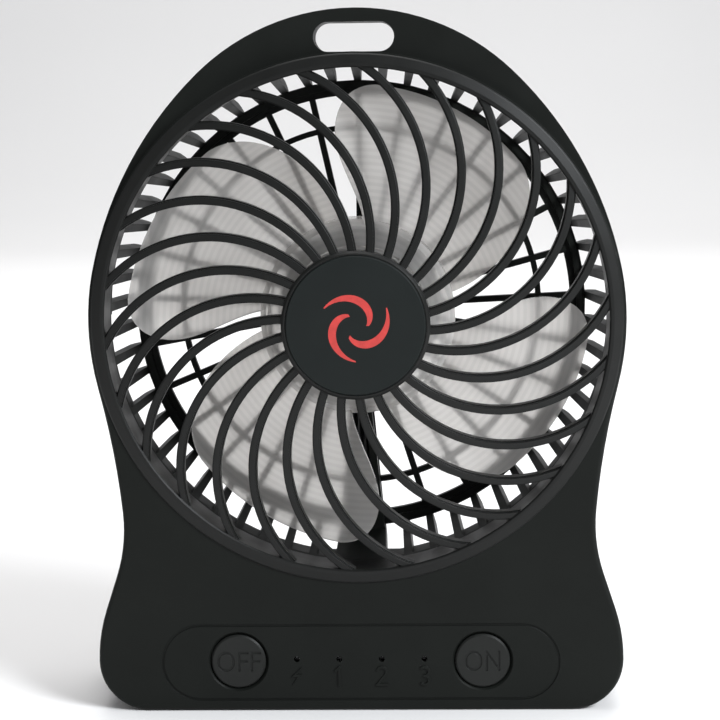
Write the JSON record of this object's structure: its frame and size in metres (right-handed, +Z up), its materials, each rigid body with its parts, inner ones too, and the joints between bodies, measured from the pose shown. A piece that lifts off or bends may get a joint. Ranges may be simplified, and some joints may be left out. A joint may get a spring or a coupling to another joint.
{
  "type": "desk fan",
  "caption": "Small rechargeable desk fan on its own flared base: round shrouded impeller behind a domed spiral grille, push buttons and charge lights on the front, lanyard slot in the top.",
  "frame": {"origin": "bottom centre of the bounding box: on the ground below the middle of the object", "axes": "+Z up along the height, the longest side; the fan blows towards -Y, through the front grille, and Y is the thickness, the shortest side"},
  "size_m": [0.108, 0.0388, 0.1426],
  "materials": {
    "case": "fine spark-eroded texture, charcoal",
    "grille": "fine texture, charcoal",
    "badge": "satin charcoal disc",
    "button": "satin",
    "frosted": "translucent frosted polypropylene",
    "steel": "plain",
    "spring_steel": "nickel-plated spring strip",
    "copper": "enamelled copper",
    "brass": "plain",
    "magnet": "ferrite",
    "white_plastic": "plain",
    "wire": "black insulated wire",
    "switch": "plain",
    "board": "solder mask",
    "lens": "clear epoxy",
    "chip": "plain",
    "cell": "shrink sleeve"
  },
  "bodies": {
    "base": {"front_cover": "case", "rear_cover": "case", "motor_can": "steel", "motor_magnets": "magnet", "motor_end_cap": "white_plastic", "motor_terminals": "brass", "motor_brushes": "brass", "motor_front_bush": "brass", "motor_rear_bush": "brass", "motor_screws": "steel", "motor_cover": "case", "motor_leads": "wire", "switch_housings": "switch", "control_board": "board", "indicator_lights": "lens", "board_chips": "chip", "boost_coil": "copper", "charge_socket": "steel", "battery_cell": "cell", "battery_contact_positive": "spring_steel", "battery_contact_negative": "spring_steel", "battery_leads": "wire", "case_screws": "steel"},
    "rotor": {"impeller": "frosted", "motor_shaft": "steel", "motor_core": "steel", "motor_windings": "copper", "motor_commutator": "copper"},
    "grille": {"front_grille": "grille", "grille_badge": "badge"},
    "off_button": {"button_off": "button", "switch_plunger_off": "switch"},
    "on_button": {"button_on": "button", "switch_plunger_on": "switch"},
    "door": {"battery_door": "case"}
  },
  "joints": [
    {"name": "impeller_spin", "type": "hinge", "parent": "base", "child": "rotor", "pos_m": [0, 0, 0.0803], "axis": [0, -1, 0], "continuous": true},
    {"name": "grille_twist", "type": "hinge", "parent": "base", "child": "grille", "pos_m": [0, -0.011, 0.0803], "axis": [0, 1, 0], "range_deg": [0, 12]},
    {"name": "off_button_press", "type": "slide", "parent": "base", "child": "off_button", "axis": [0, 1, 0], "range_m": [0, 0.0004], "stiffness_N_per_m": 400},
    {"name": "on_button_press", "type": "slide", "parent": "base", "child": "on_button", "axis": [0, 1, 0], "range_m": [0, 0.0004], "stiffness_N_per_m": 400},
    {"name": "door_slide", "type": "slide", "parent": "base", "child": "door", "axis": [0, 1, 0], "range_m": [0, 0.02]}
  ]
}
